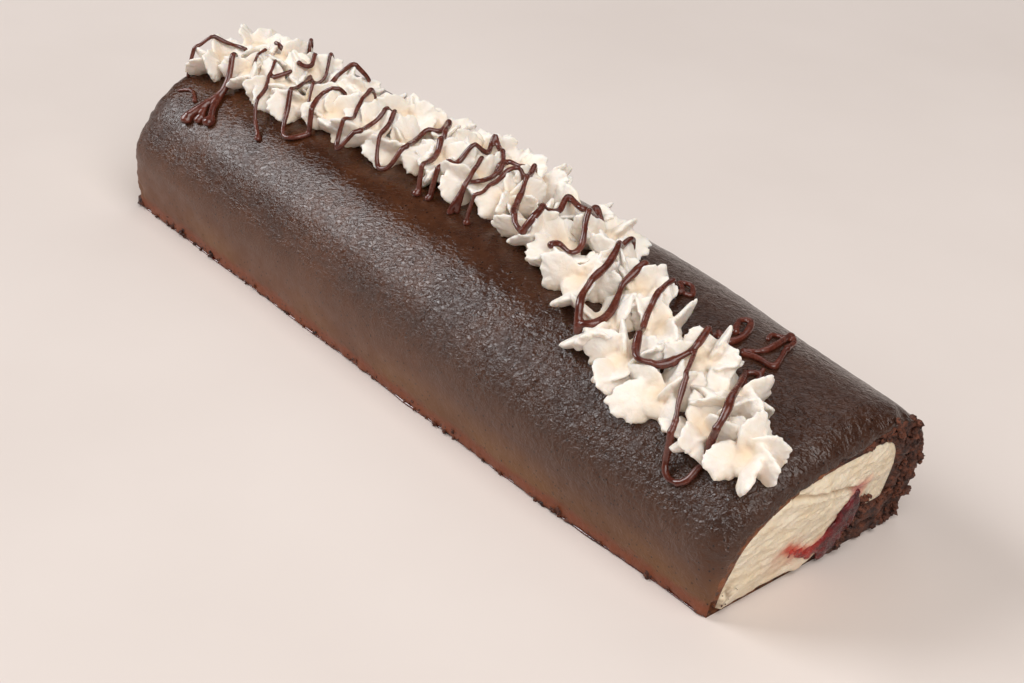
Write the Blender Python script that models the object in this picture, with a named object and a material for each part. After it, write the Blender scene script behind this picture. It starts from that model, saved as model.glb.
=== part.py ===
"""Chocolate roulade: a sponge roll round cream and cherry, under two rows of piped cream stars.

Metres, +Z up. The roll lies along X with its cut end at +X and its front at -Y. The origin is
under the middle of the roll, on the surface that it rests on.
"""

import math
import random

import bpy
from mathutils import Vector

# Roll, at its base and at full section
ROLL_FAR = -0.1727
ROLL_CUT = 0.1713
HALF_WIDTH = 0.0575
BASE_TUCK = 0.0040
WIDE_HEIGHT = 0.0240
TOP_FAR = 0.0610
TOP_MIDDLE = 0.0645
TOP_CUT = 0.0585

# How the section changes over the last stretch before the cut
TAPER_START = 0.0648
CUT_FRONT = 0.0548
CUT_BACK = 0.0475
CUT_RIDGE = 0.0070
LEAN_START = 0.0948
LEAN = 0.20
SKEW = 0.03

# How the far end leans out
FAR_LEAN_START = -0.1182
FAR_LEAN = 0.12

# The skin rounds over towards both ends
END_ROUND = 0.0130
CUT_DROOP = 0.0090
CUT_PULL = 0.0060
FAR_DROOP = 0.0045
FAR_PULL = 0.0040
BACK_SHARE = 0.25
BACK_REACH = 0.0280

# Thickness of the sponge round the filling
SKIN_TOP = 0.0035
SKIN_FRONT = 0.0035
SKIN_BACK = 0.0180
HOLLOW_POWER = 0.80
HOLLOW_RIDGE = 0.50
HOLLOW_SHIFT = 0.30
BASE_FRONT = 0.0035
BASE_BACK = 0.0180
BASE_RISE_FROM = -0.0050
BASE_RISE_TO = 0.0150

# Strand of cherry between the cream and the base
CHERRY_MIDDLE = -0.0030
CHERRY_HALF_WIDTH = 0.0160
CHERRY_EDGE = 0.0130
CHERRY_DEPTH = 0.0100
CHERRY_POWER = 1.5

# Faces that touch keep this gap
GAP = 0.0005

# Points round a section and sections along the roll
SIDE_STEPS = 3
DOME_STEPS = 20
CHERRY_STEPS = 8
END_STEPS = 3
MIDDLE_STEPS = 8

# Piped stars, and how far their sizes vary
STAR_RADIUS = 0.0148
STAR_HEIGHT = 0.0125
STAR_WIDER = (0.94, 1.08)
STAR_TALLER = (0.92, 1.10)
STAR_PETALS = 7
STAR_PEAK = 0.84
# Rings of points up a star: share of its radius, share of its height and depth of its grooves
STAR_RINGS = ((0.62, 0.0, 0.30), (1.0, 0.34, 0.42), (0.66, 0.86, 0.50))
POINTS_PER_PETAL = 4
PETAL_POWER = 0.7
STAR_LIFT = 0.0008
# Greatest share of the way out to the roll's side where its top still has a height
SKIN_SHARE = 0.999
STAR_GAP = 0.0005
# Stars closer than this many radii keep to their own side of each other
STAR_NEAR = 3.0
# A point on a neighbour's side is pulled in by this share, time and again
PULL_IN = 0.95
PULL_TRIES = 60
FRONT_STARS = 18
BACK_STARS = 17
STAR_SPACING = 0.0193
FRONT_ROW_START = 0.1652
BACK_ROW_START = 0.1448
STAR_WANDER_X = 0.0018
STAR_WANDER_Y = 0.0010
WANDER_SEED = 11
# The back row's stars are squeezed out in pairs, each pair one body of cream
PAIR_SIZE = 2
# Distance between the rows, at the cut end and further along
ROWS_APART_CUT = 0.0118
ROWS_APART = 0.0180
SPREAD_START = 0.1500
SPREAD_LENGTH = 0.0240

# The front row's line, as it wanders along the top of the roll: x and y
FRONT_LINE = (
    (0.1670, -0.0350),
    (0.1290, -0.0365),
    (0.1000, -0.0340),
    (0.0500, -0.0125),
    (0.0000, -0.0060),
    (-0.0300, -0.0060),
    (-0.0900, -0.0155),
    (-0.1660, -0.0190),
)


def smooth(value):
    """Ease from 0 to 1 as value goes from 0 to 1."""
    t = min(1.0, max(0.0, value))
    return t * t * (3.0 - 2.0 * t)


def mix(a, b, t):
    return a + (b - a) * t


# ---------------------------------------------------------------- the roll's sections


def roll_size(x):
    """Front and back half widths, ridge offset and top height of the section at x."""
    taper = smooth((x - TAPER_START) / (ROLL_CUT - TAPER_START))
    front = mix(HALF_WIDTH, CUT_FRONT, taper)
    back = mix(HALF_WIDTH, CUT_BACK, taper)
    ridge = mix(0.0, CUT_RIDGE, taper)
    middle = (ROLL_FAR + ROLL_CUT) / 2.0
    half = (ROLL_CUT - ROLL_FAR) / 2.0
    away = (x - middle) / half
    end_top = TOP_CUT if away > 0 else TOP_FAR
    top = mix(TOP_MIDDLE, end_top, away * away)
    return front, back, ridge, top


def section(front, back, ridge, top, bottom, back_power=1.0):
    """Points (y, z) of one section, up the front, over the dome, down the back and home.

    bottom gives the height of the underside at a y. Above WIDE_HEIGHT the outline is
    elliptical, and below it the sides tuck in a little. A back_power under 1 squares the
    dome's back shoulder.
    """

    def tuck(z):
        return BASE_TUCK * (1.0 - z / WIDE_HEIGHT) ** 2

    points = []
    low = bottom(-front)
    for i in range(SIDE_STEPS):
        z = mix(low, WIDE_HEIGHT, i / SIDE_STEPS)
        points.append((-front + tuck(z), z))
    for i in range(DOME_STEPS + 1):
        angle = math.pi * i / DOME_STEPS
        across = math.cos(angle)
        rise = math.sin(angle)
        if 2 * i <= DOME_STEPS:
            y = ridge - (ridge + front) * across
        else:
            y = ridge + (back - ridge) * (-across) ** back_power
            rise = max(0.0, rise) ** back_power
        points.append((y, WIDE_HEIGHT + (top - WIDE_HEIGHT) * rise))
    low = bottom(back)
    for i in range(1, SIDE_STEPS + 1):
        z = mix(WIDE_HEIGHT, low, i / SIDE_STEPS)
        points.append((back - tuck(z), z))
    base_places = [BASE_RISE_TO] + cherry_places() + [-HALF_WIDTH / 2.0]
    points += [(y, bottom(y)) for y in base_places]
    return points


def cherry_places():
    """The y places across the cherry strand, back to front, which every section shares."""
    steps = range(CHERRY_STEPS + 1)
    return [CHERRY_MIDDLE + mix(CHERRY_EDGE, -CHERRY_EDGE, i / CHERRY_STEPS) for i in steps]


def end_fall(x):
    """How far the skin has rounded over at x, 0 to 1, with its droop and side pull."""
    if x > ROLL_CUT - END_ROUND:
        t = (x - ROLL_CUT + END_ROUND) / END_ROUND
        return 1.0 - math.sqrt(max(0.0, 1.0 - t * t)), CUT_DROOP, CUT_PULL
    if x < ROLL_FAR + END_ROUND:
        t = (ROLL_FAR + END_ROUND - x) / END_ROUND
        return 1.0 - math.sqrt(max(0.0, 1.0 - t * t)), FAR_DROOP, FAR_PULL
    return 0.0, 0.0, 0.0


def place(x, y, z):
    """Round the ends over, and lean and skew them, for a point of the section at x."""
    fall, droop, pull = end_fall(x)
    back = smooth(y / BACK_REACH)
    share = mix(1.0, BACK_SHARE, back)
    height = min(1.0, z / WIDE_HEIGHT)
    side = -y / HALF_WIDTH
    new_y = y + fall * pull * share * side * height
    new_z = z - fall * droop * share * min(1.0, z / TOP_CUT)
    near = smooth((x - LEAN_START) / (ROLL_CUT - LEAN_START))
    far = smooth((FAR_LEAN_START - x) / (FAR_LEAN_START - ROLL_FAR))
    lean = LEAN * near - FAR_LEAN * far
    skew = SKEW * near * (new_y + HALF_WIDTH)
    return Vector((x + lean * new_z - skew, new_y, new_z))


def stations():
    """Places of the sections along X, closer together where the ends round over."""
    steps = [1.0 - math.cos(math.pi / 2.0 * i / END_STEPS) for i in range(END_STEPS)]
    far = [ROLL_FAR + END_ROUND * s for s in steps]
    cut = [ROLL_CUT - END_ROUND * s for s in reversed(steps)]
    first = ROLL_FAR + END_ROUND
    last = ROLL_CUT - END_ROUND
    middle = [mix(first, last, i / MIDDLE_STEPS) for i in range(MIDDLE_STEPS + 1)]
    return far + middle + cut


def flat_bottom(_y):
    return 0.0


def base_top(y):
    """Top of the sponge base: thin in front, and thick where the roll's end tucks under."""
    rise = (y - BASE_RISE_FROM) / (BASE_RISE_TO - BASE_RISE_FROM)
    return mix(BASE_FRONT, BASE_BACK, smooth(rise))


def cherry_depth(y):
    """Depth of the cherry strand over the base at y."""
    t = (y - CHERRY_MIDDLE) / CHERRY_HALF_WIDTH
    if abs(t) >= 1.0:
        return 0.0
    return CHERRY_DEPTH * math.cos(t * math.pi / 2.0) ** CHERRY_POWER


def cream_bottom(y):
    return base_top(y) + GAP + cherry_depth(y)


def outer_section(x):
    front, back, ridge, top = roll_size(x)
    return [place(x, y, z) for y, z in section(front, back, ridge, top, flat_bottom)]


def inner_section(x, inset, bottom):
    """Section of the hollow in the sponge, or of the cream when inset is the gap."""
    front, back, ridge, top = roll_size(x)
    points = section(
        front - SKIN_FRONT - inset,
        back - SKIN_BACK - inset,
        ridge * HOLLOW_RIDGE - SKIN_BACK * HOLLOW_SHIFT,
        top - SKIN_TOP - inset,
        bottom,
        HOLLOW_POWER,
    )
    return [place(x, y, z) for y, z in points]


def cherry_section(x):
    """Section of the cherry strand: along the base, then back under the cream."""
    across = cherry_places()
    low = [(y, base_top(y) + GAP) for y in across]
    high = [(y, base_top(y) + cherry_depth(y)) for y in reversed(across)]
    return [place(x, y, z) for y, z in low + high]


# ---------------------------------------------------------------- making objects


def material(name, colour, roughness):
    made = bpy.data.materials.new(name)
    made.use_nodes = True
    shader = made.node_tree.nodes["Principled BSDF"]
    shader.inputs["Base Color"].default_value = (*colour, 1.0)
    shader.inputs["Roughness"].default_value = roughness
    shader.inputs["Metallic"].default_value = 0.0
    made.diffuse_color = (*colour, 1.0)
    return made


def add_object(name, points, faces, finish, collection):
    mesh = bpy.data.meshes.new(name)
    mesh.from_pydata([tuple(p) for p in points], [], faces)
    mesh.materials.append(finish)
    mesh.update()
    made = bpy.data.objects.new(name, mesh)
    collection.objects.link(made)
    return made


def loft_faces(loops, size, start, outward):
    """Quads that join loops of size points each, whose first point has index start."""
    faces = []
    for loop in range(loops - 1):
        for i in range(size):
            j = (i + 1) % size
            a = start + loop * size
            b = a + size
            quad = (a + i, a + j, b + j, b + i)
            faces.append(quad if outward else quad[::-1])
    return faces


def add_strand(name, sections, finish, collection):
    """A solid strand through a list of sections."""
    size = len(sections[0])
    points = [p for loop in sections for p in loop]
    faces = loft_faces(len(sections), size, 0, outward=False)
    last = (len(sections) - 1) * size
    faces.append(tuple(range(size)))
    faces.append(tuple(last + i for i in reversed(range(size))))
    return add_object(name, points, faces, finish, collection)


def add_sleeve(name, outer, inner, finish, collection):
    """A hollow sleeve between two lists of sections, with an open hollow at both ends."""
    size = len(outer[0])
    count = len(outer)
    points = [p for loop in outer + inner for p in loop]
    hollow = count * size
    faces = loft_faces(count, size, 0, outward=False)
    faces += loft_faces(count, size, hollow, outward=True)
    last = (count - 1) * size
    for i in range(size):
        j = (i + 1) % size
        faces.append((i, j, hollow + j, hollow + i))
        faces.append((last + j, last + i, hollow + last + i, hollow + last + j))
    return add_object(name, points, faces, finish, collection)


# ---------------------------------------------------------------- piped stars


def skin_height(x, y):
    """Height of the roll's top at x and y."""
    front, back, ridge, top = roll_size(x)
    reach = ridge + front if y < ridge else back - ridge
    q = min(SKIN_SHARE, abs(y - ridge) / reach)
    return WIDE_HEIGHT + (top - WIDE_HEIGHT) * math.sqrt(1.0 - q * q)


def skin_normal(x, y):
    step = 0.001
    dx = skin_height(x + step, y) - skin_height(x - step, y)
    dy = skin_height(x, y + step) - skin_height(x, y - step)
    return Vector((-dx, -dy, 2.0 * step)).normalized()


def front_line(x):
    """The y of the front row's line at x."""
    if x >= FRONT_LINE[0][0]:
        return FRONT_LINE[0][1]
    for (x0, y0), (x1, y1) in zip(FRONT_LINE, FRONT_LINE[1:]):
        if x >= x1:
            return mix(y0, y1, (x0 - x) / (x0 - x1))
    return FRONT_LINE[-1][1]


def star_centres(start, count, share, wander):
    """Centres on the skin of one row, a share of the way from the front line to the back."""
    centres = []
    for i in range(count):
        x = start - STAR_SPACING * i + wander.uniform(-STAR_WANDER_X, STAR_WANDER_X)
        apart = mix(ROWS_APART_CUT, ROWS_APART, smooth((SPREAD_START - x) / SPREAD_LENGTH))
        y = front_line(x) + share * apart + wander.uniform(-STAR_WANDER_Y, STAR_WANDER_Y)
        centres.append(Vector((x, y, skin_height(x, y) + STAR_LIFT)))
    return centres


def star_limits(centre, others):
    """Planes halfway to the near stars of others, as (point, outward direction)."""
    planes = []
    for other in others:
        apart = other - centre
        if apart.length < STAR_NEAR * STAR_RADIUS:
            out = apart.normalized()
            planes.append((centre + apart / 2.0 - out * STAR_GAP / 2.0, out))
    return planes


def add_star(name, centre, limits, vary, finish, collection):
    """A star of fanned petals, kept on its own side of the limits."""
    radius = STAR_RADIUS * vary.uniform(*STAR_WIDER)
    height = STAR_HEIGHT * vary.uniform(*STAR_TALLER)
    turn = vary.uniform(0.0, 2.0 * math.pi)
    up = skin_normal(centre.x, centre.y)
    across = up.cross(Vector((1.0, 0.0, 0.0))).normalized()
    along = across.cross(up).normalized()

    def inside(point):
        return all((point - at).dot(out) <= 0.0 for at, out in limits)

    def ring_point(angle, reach, rise):
        spoke = along * math.cos(angle) + across * math.sin(angle)
        for _ in range(PULL_TRIES):
            point = centre + spoke * reach + up * rise
            if rise == 0.0:
                point.z = skin_height(point.x, point.y) + STAR_LIFT
            if inside(point):
                break
            reach *= PULL_IN
        return point

    around = POINTS_PER_PETAL * STAR_PETALS
    points = []
    for size, rise, groove in STAR_RINGS:
        for i in range(around):
            angle = turn + 2.0 * math.pi * i / around
            petal = 0.5 + 0.5 * math.cos(STAR_PETALS * (angle - turn))
            reach = radius * size * mix(1.0 - groove, 1.0, petal ** PETAL_POWER)
            points.append(ring_point(angle, reach, height * rise))
    bottom = len(points)
    points.append(centre.copy())
    points.append(centre + up * height * STAR_PEAK)

    faces = loft_faces(len(STAR_RINGS), around, 0, outward=True)
    last = (len(STAR_RINGS) - 1) * around
    for i in range(around):
        j = (i + 1) % around
        faces.append((i, bottom, j))
        faces.append((last + i, last + j, bottom + 1))
    return add_object(name, points, faces, finish, collection)


def unite(star, other):
    """Make two overlapping stars one body, of which the other stays as a guide."""
    union = star.modifiers.new("pair", "BOOLEAN")
    union.operation = "UNION"
    union.solver = "EXACT"
    union.object = other
    other.hide_render = True
    other.display_type = "WIRE"


def add_stars(finish, collection, guides):
    """The front row's stars one by one, and then the back row's in pairs."""
    wander = random.Random(WANDER_SEED)
    front = star_centres(FRONT_ROW_START, FRONT_STARS, 0.0, wander)
    back = star_centres(BACK_ROW_START, BACK_STARS, 1.0, wander)
    groups = [[centre] for centre in front]
    groups += [back[i : i + PAIR_SIZE] for i in range(0, BACK_STARS, PAIR_SIZE)]
    for number, group in enumerate(groups, start=1):
        name = f"piped_star_{number:02d}"
        vary = random.Random(number)
        others = [centre for centre in front + back if centre not in group]
        limits = [star_limits(centre, others) for centre in group]
        star = add_star(name, group[0], limits[0], vary, finish, collection)
        if len(group) == PAIR_SIZE:
            other = add_star(name + "_pair", group[1], limits[1], vary, finish, guides)
            unite(star, other)


# ---------------------------------------------------------------- the whole cake


def add_collection(name):
    collection = bpy.data.collections.new(name)
    bpy.context.scene.collection.children.link(collection)
    return collection


def build():
    for old in list(bpy.data.objects):
        bpy.data.objects.remove(old, do_unlink=True)
    cake = add_collection("chocolate_roulade")
    guides = add_collection("guides")

    sponge = material("chocolate_sponge", (0.030, 0.016, 0.011), 0.45)
    cream = material("filling_cream", (0.80, 0.70, 0.55), 0.50)
    cherry = material("cherry_jam", (0.22, 0.010, 0.015), 0.25)
    piped = material("piped_cream", (0.86, 0.80, 0.70), 0.45)

    places = stations()
    outer = [outer_section(x) for x in places]
    hollow = [inner_section(x, 0.0, base_top) for x in places]
    filling = [inner_section(x, GAP, cream_bottom) for x in places]
    strand = [cherry_section(x) for x in places]
    add_sleeve("chocolate_sponge", outer, hollow, sponge, cake)
    add_strand("cream_filling", filling, cream, cake)
    add_strand("cherry_filling", strand, cherry, cake)
    add_stars(piped, cake, guides)


build()
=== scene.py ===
"""The chocolate roulade's looks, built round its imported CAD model.

Metres, +Z up, in the CAD's frame: the roll lies along X with its cut end at +X and its front
at -Y. The shape constants repeat the CAD's own, so that every piece fits its solid.
"""

import math
import random

import bpy
import numpy as np
from mathutils import Matrix, Vector, noise
from mathutils.bvhtree import BVHTree


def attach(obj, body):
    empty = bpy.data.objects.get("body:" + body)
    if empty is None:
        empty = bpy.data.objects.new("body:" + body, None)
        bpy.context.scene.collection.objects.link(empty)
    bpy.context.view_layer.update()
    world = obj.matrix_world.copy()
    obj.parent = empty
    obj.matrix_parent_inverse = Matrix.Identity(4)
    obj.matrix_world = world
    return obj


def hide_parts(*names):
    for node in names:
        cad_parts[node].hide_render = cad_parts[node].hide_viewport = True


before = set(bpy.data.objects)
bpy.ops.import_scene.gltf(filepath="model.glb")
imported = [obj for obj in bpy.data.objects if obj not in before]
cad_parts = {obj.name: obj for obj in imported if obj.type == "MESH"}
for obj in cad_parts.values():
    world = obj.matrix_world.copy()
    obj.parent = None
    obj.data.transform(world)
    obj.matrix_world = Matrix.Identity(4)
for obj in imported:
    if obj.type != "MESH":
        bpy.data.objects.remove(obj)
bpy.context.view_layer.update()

MM = 0.001

# ---- the roll's shape, as in the CAD

ROLL_FAR = -0.1727
ROLL_CUT = 0.1713
HALF_WIDTH = 0.0575
BASE_TUCK = 0.004
WIDE_HEIGHT = 0.024
TOP_FAR = 0.061
TOP_MIDDLE = 0.0645
TOP_CUT = 0.0585
TAPER_START = 0.0648
CUT_FRONT = 0.0548
CUT_BACK = 0.0475
CUT_RIDGE = 0.007
LEAN_START = 0.0948
LEAN = 0.2
SKEW = 0.03
FAR_LEAN_START = -0.1182
FAR_LEAN = 0.12
END_ROUND = 0.013
CUT_DROOP = 0.009
CUT_PULL = 0.006
FAR_DROOP = 0.0045
FAR_PULL = 0.004
BACK_SHARE = 0.25
BACK_REACH = 0.028
SKIN_TOP = 0.0035
SKIN_FRONT = 0.0035
SKIN_BACK = 0.018
HOLLOW_RIDGE = 0.5
HOLLOW_SHIFT = 0.3
HOLLOW_POWER = 0.8
HOLLOW_PLACES = (ROLL_FAR, ROLL_FAR + END_ROUND, -0.09, 0.0, 0.08, ROLL_CUT - END_ROUND, ROLL_CUT)
BASE_FRONT = 0.0035
BASE_BACK = 0.018
BASE_RISE_FROM = -0.005
BASE_RISE_TO = 0.015
STAR_LIFT = 0.0008
FRONT_STARS = 18
BACK_STARS = 17
STAR_SPACING = 0.0193
FRONT_ROW_START = 0.1652
BACK_ROW_START = 0.1448
STAR_WANDER_X = 0.0018
STAR_WANDER_Y = 0.001
WANDER_SEED = 11
PAIR_SIZE = 2
ROWS_APART_CUT = 0.0118
ROWS_APART = 0.018
SPREAD_START = 0.15
SPREAD_LENGTH = 0.024
FRONT_LINE = (
    (0.167, -0.035),
    (0.129, -0.0365),
    (0.1, -0.034),
    (0.05, -0.0125),
    (0.0, -0.006),
    (-0.03, -0.006),
    (-0.09, -0.0155),
    (-0.166, -0.019),
)

# ---- how finely it is modelled

SIDE_STEPS = 20
DOME_STEPS = 150
BASE_STEPS = 34
ROUND_STEPS = 14
STATION_STEP = 0.0011
RING_STEPS = 15
CAP_STEPS = 46
PETAL_AROUND = 52
PETAL_RINGS = 7
TUBE_AROUND = 10
STAR_VOXEL = 0.00058
DRIZZLE_VOXEL = 0.00055
CHERRY_VOXEL = 0.0007


def smooth(value):
    """Ease from 0 to 1 as value goes from 0 to 1."""
    t = min(1.0, max(0.0, value))
    return t * t * (3.0 - 2.0 * t)


def ramp(value, start, length):
    """Ease from 0 to 1 as value goes a length past start."""
    return smooth((value - start) / length)


def mix(a, b, t):
    return a + (b - a) * t


def wave(*place_at):
    """Smooth noise at a place, from -1 to 1."""
    return noise.noise(Vector(place_at))


def cloudy(point, scale, octaves=3):
    return noise.fractal(point * scale, 1.0, 2.0, octaves)


def either_way(rng, reach):
    return rng.uniform(-reach, reach)


# ---- sections of the roll


def roll_size(x):
    """Front and back half widths, ridge offset and top height of the section at x."""
    taper = ramp(x, TAPER_START, ROLL_CUT - TAPER_START)
    front = mix(HALF_WIDTH, CUT_FRONT, taper)
    back = mix(HALF_WIDTH, CUT_BACK, taper)
    ridge = mix(0.0, CUT_RIDGE, taper)
    middle = (ROLL_FAR + ROLL_CUT) / 2.0
    away = (x - middle) / ((ROLL_CUT - ROLL_FAR) / 2.0)
    end_top = TOP_CUT if away > 0 else TOP_FAR
    return front, back, ridge, mix(TOP_MIDDLE, end_top, away * away)


def section(front, back, ridge, top, bottom, back_power=1.0):
    """Points (y, z) of one section, up the front, over the dome, down the back and home."""

    def tuck(z):
        return BASE_TUCK * (1.0 - z / WIDE_HEIGHT) ** 2

    points = []
    low = bottom(-front)
    for i in range(SIDE_STEPS):
        z = mix(low, WIDE_HEIGHT, i / SIDE_STEPS)
        points.append((-front + tuck(z), z))
    for i in range(DOME_STEPS + 1):
        angle = math.pi * i / DOME_STEPS
        across = math.cos(angle)
        rise = math.sin(angle)
        if 2 * i <= DOME_STEPS:
            y = ridge - (ridge + front) * across
        else:
            y = ridge + (back - ridge) * max(0.0, -across) ** back_power
            rise = max(0.0, rise) ** back_power
        points.append((y, WIDE_HEIGHT + (top - WIDE_HEIGHT) * rise))
    low = bottom(back)
    for i in range(1, SIDE_STEPS + 1):
        z = mix(WIDE_HEIGHT, low, i / SIDE_STEPS)
        points.append((back - tuck(z), z))
    start = points[-1][0]
    end = points[0][0]
    for i in range(1, BASE_STEPS):
        y = mix(start, end, i / BASE_STEPS)
        points.append((y, bottom(y)))
    return points


def end_fall(x):
    """How far the skin has rounded over at x, 0 to 1, with its droop and side pull."""
    past_cut = (x - ROLL_CUT + END_ROUND) / END_ROUND
    past_far = (ROLL_FAR + END_ROUND - x) / END_ROUND
    t = max(0.0, past_cut, past_far)
    fall = 1.0 - math.sqrt(max(0.0, 1.0 - t * t))
    return (fall, CUT_DROOP, CUT_PULL) if past_cut > 0.0 else (fall, FAR_DROOP, FAR_PULL)


def place(x, y, z):
    """Round the ends over, and lean and skew them, for a point of the section at x."""
    fall, droop, pull = end_fall(x)
    share = mix(1.0, BACK_SHARE, smooth(y / BACK_REACH))
    height = min(1.0, z / WIDE_HEIGHT)
    side = -y / HALF_WIDTH
    new_y = y + fall * pull * share * side * height
    new_z = z - fall * droop * share * min(1.0, z / TOP_CUT)
    near = ramp(x, LEAN_START, ROLL_CUT - LEAN_START)
    far = smooth((FAR_LEAN_START - x) / (FAR_LEAN_START - ROLL_FAR))
    lean = LEAN * near - FAR_LEAN * far
    skew = SKEW * near * (new_y + HALF_WIDTH)
    return Vector((x + lean * new_z - skew, new_y, new_z))


def stations():
    """Places of the sections along X, far to near, closer together where the ends round over."""
    turn = [math.pi / 2.0 * i / ROUND_STEPS for i in range(ROUND_STEPS)]
    far = [ROLL_FAR + END_ROUND * (1.0 - math.cos(a)) for a in turn]
    cut = [ROLL_CUT - END_ROUND * (1.0 - math.cos(a)) for a in reversed(turn)]
    first = ROLL_FAR + END_ROUND
    last = ROLL_CUT - END_ROUND
    count = round((last - first) / STATION_STEP)
    return far + [mix(first, last, i / count) for i in range(count + 1)] + cut


def flat_bottom(_y):
    return 0.0


def base_top(y):
    """Top of the sponge base: thin in front, and thick where the roll's end tucks under."""
    return mix(BASE_FRONT, BASE_BACK, ramp(y, BASE_RISE_FROM, BASE_RISE_TO - BASE_RISE_FROM))


def outer_section(x):
    front, back, ridge, top = roll_size(x)
    return [place(x, y, z) for y, z in section(front, back, ridge, top, flat_bottom)]


def hollow_section(x):
    front, back, ridge, top = roll_size(x)
    points = section(
        front - SKIN_FRONT,
        back - SKIN_BACK,
        ridge * HOLLOW_RIDGE - SKIN_BACK * HOLLOW_SHIFT,
        top - SKIN_TOP,
        base_top,
        HOLLOW_POWER,
    )
    return [place(x, y, z) for y, z in points]


def skin_height(x, y):
    """Height of the roll's top at x and y."""
    front, back, ridge, top = roll_size(x)
    reach = ridge + front if y < ridge else back - ridge
    q = min(0.999, abs(y - ridge) / reach)
    return WIDE_HEIGHT + (top - WIDE_HEIGHT) * math.sqrt(1.0 - q * q)


def skin_normal(x, y):
    step = 1.0 * MM
    dx = skin_height(x + step, y) - skin_height(x - step, y)
    dy = skin_height(x, y + step) - skin_height(x, y - step)
    return Vector((-dx, -dy, 2.0 * step)).normalized()


CUT_OUT = Vector((1.0, SKEW, -LEAN)).normalized()
FAR_OUT = Vector((-1.0, 0.0, -FAR_LEAN)).normalized()


def cut_point(y, z, out):
    """The point of the cut's plane at y and z, moved out by a distance."""
    x = ROLL_CUT + LEAN * z - SKEW * (y + HALF_WIDTH)
    return Vector((x, y, z)) + CUT_OUT * out


def far_point(y, z, out):
    return Vector((ROLL_FAR - FAR_LEAN * z, y, z)) + FAR_OUT * out


# ---- meshes


def add_piece(name, points, faces, finishes, indices=None):
    """A smooth-shaded mesh that rides on the cake, with one or more materials."""
    mesh = bpy.data.meshes.new(name)
    mesh.from_pydata([tuple(p) for p in points], [], faces)
    for finish in finishes:
        mesh.materials.append(finish)
    if indices is not None:
        mesh.polygons.foreach_set("material_index", indices)
    mesh.polygons.foreach_set("use_smooth", [True] * len(mesh.polygons))
    mesh.update()
    piece = bpy.data.objects.new(name, mesh)
    bpy.context.scene.collection.objects.link(piece)
    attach(piece, "root")
    return piece


def add_tint(mesh, name, colours):
    """A colour at each point of the mesh, which its material reads by name."""
    layer = mesh.color_attributes.new(name, "FLOAT_COLOR", "POINT")
    flat = np.ones((len(mesh.vertices), 4), np.float32)
    flat[:, :3] = colours
    layer.data.foreach_set("color", flat.ravel())


def greys(values):
    return np.repeat(values[:, None], 3, axis=1)


def band_faces(a, b, size):
    """Quads between two loops of size points, which start at a and b."""
    return [(a + (i + 1) % size, a + i, b + i, b + (i + 1) % size) for i in range(size)]


def loop_faces(loops, size, start=0, closed=False):
    """Quads between index-matched loops of size points, one after the other."""
    faces = []
    for loop in range(loops if closed else loops - 1):
        faces += band_faces(start + loop * size, start + (loop + 1) % loops * size, size)
    return faces


def dome_faces(tip, ring, size, rings=1, way=1):
    """A fan from a tip to the ring that starts at ring, and quads from ring to ring."""
    faces = []
    for i in range(size):
        j = (i + 1) % size
        faces.append((tip, ring + i, ring + j)[::way])
        for a in range(ring, ring + (rings - 1) * size, size):
            b = a + size
            faces.append((a + i, b + i, b + j, a + j)[::way])
    return faces


def fuse(name, points, faces, voxel, relax, relief=None):
    """The points and faces of one closed skin over overlapping shells, raised by its relief."""
    mesh = bpy.data.meshes.new(name)
    mesh.from_pydata([tuple(p) for p in points], [], faces)
    raw = bpy.data.objects.new(name, mesh)
    bpy.context.scene.collection.objects.link(raw)
    remesh = raw.modifiers.new("fuse", "REMESH")
    remesh.mode = "VOXEL"
    remesh.voxel_size = voxel
    soften = raw.modifiers.new("soften", "SMOOTH")
    soften.factor = 0.5
    soften.iterations = relax
    evaluated = raw.evaluated_get(bpy.context.evaluated_depsgraph_get())
    made = bpy.data.meshes.new_from_object(evaluated)
    places = np.empty(len(made.vertices) * 3)
    made.vertices.foreach_get("co", places)
    normals = np.empty(len(made.vertices) * 3)
    made.vertices.foreach_get("normal", normals)
    polygons = [tuple(p.vertices) for p in made.polygons]
    bpy.data.objects.remove(raw)
    bpy.data.meshes.remove(mesh)
    bpy.data.meshes.remove(made)
    places = places.reshape(-1, 3)
    if relief is not None:
        for p, out in zip(places, normals.reshape(-1, 3)):
            p += out * relief(Vector(p))
    return places, polygons


def add_ball(points, faces, matrix, steps=8, around=12, dent=0.0, seed=0.0):
    """Append a closed ball, squeezed and placed by matrix, to points and faces."""
    start = len(points)
    points.append(matrix @ Vector((0.0, 0.0, 1.0)))
    for i in range(1, steps):
        polar = math.pi * i / steps
        wide = math.sin(polar)
        for j in range(around):
            angle = 2.0 * math.pi * j / around
            unit = Vector((wide * math.cos(angle), wide * math.sin(angle), math.cos(polar)))
            if dent:
                unit *= 1.0 + dent * cloudy(unit + Vector((seed, seed, seed)), 1.6, 2)
            points.append(matrix @ unit)
    points.append(matrix @ Vector((0.0, 0.0, -1.0)))
    end = len(points) - 1
    faces += dome_faces(start, start + 1, around, steps - 1)
    faces += dome_faces(end, end - around, around, way=-1)


def add_tube(points, faces, path, radii, flat=1.0):
    """Append a closed tube along path, with flat ends, to points and faces."""
    around = TUBE_AROUND
    start = len(points)
    count = len(path)
    for i, at in enumerate(path):
        ahead = (path[min(i + 1, count - 1)] - path[max(i - 1, 0)]).normalized()
        across = ahead.cross(Vector((0.0, 0.0, 1.0)))
        if across.length < 0.05:
            across = ahead.cross(Vector((0.0, 1.0, 0.0)))
        across.normalize()
        up = across.cross(ahead)
        for j in range(around):
            angle = 2.0 * math.pi * j / around
            ring = across * math.cos(angle) + up * (flat * math.sin(angle))
            points.append(at + ring * radii[i])
    faces += loop_faces(count, around, start)
    faces.append(tuple(start + j for j in range(around)))
    faces.append(tuple(start + (count - 1) * around + j for j in reversed(range(around))))


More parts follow.
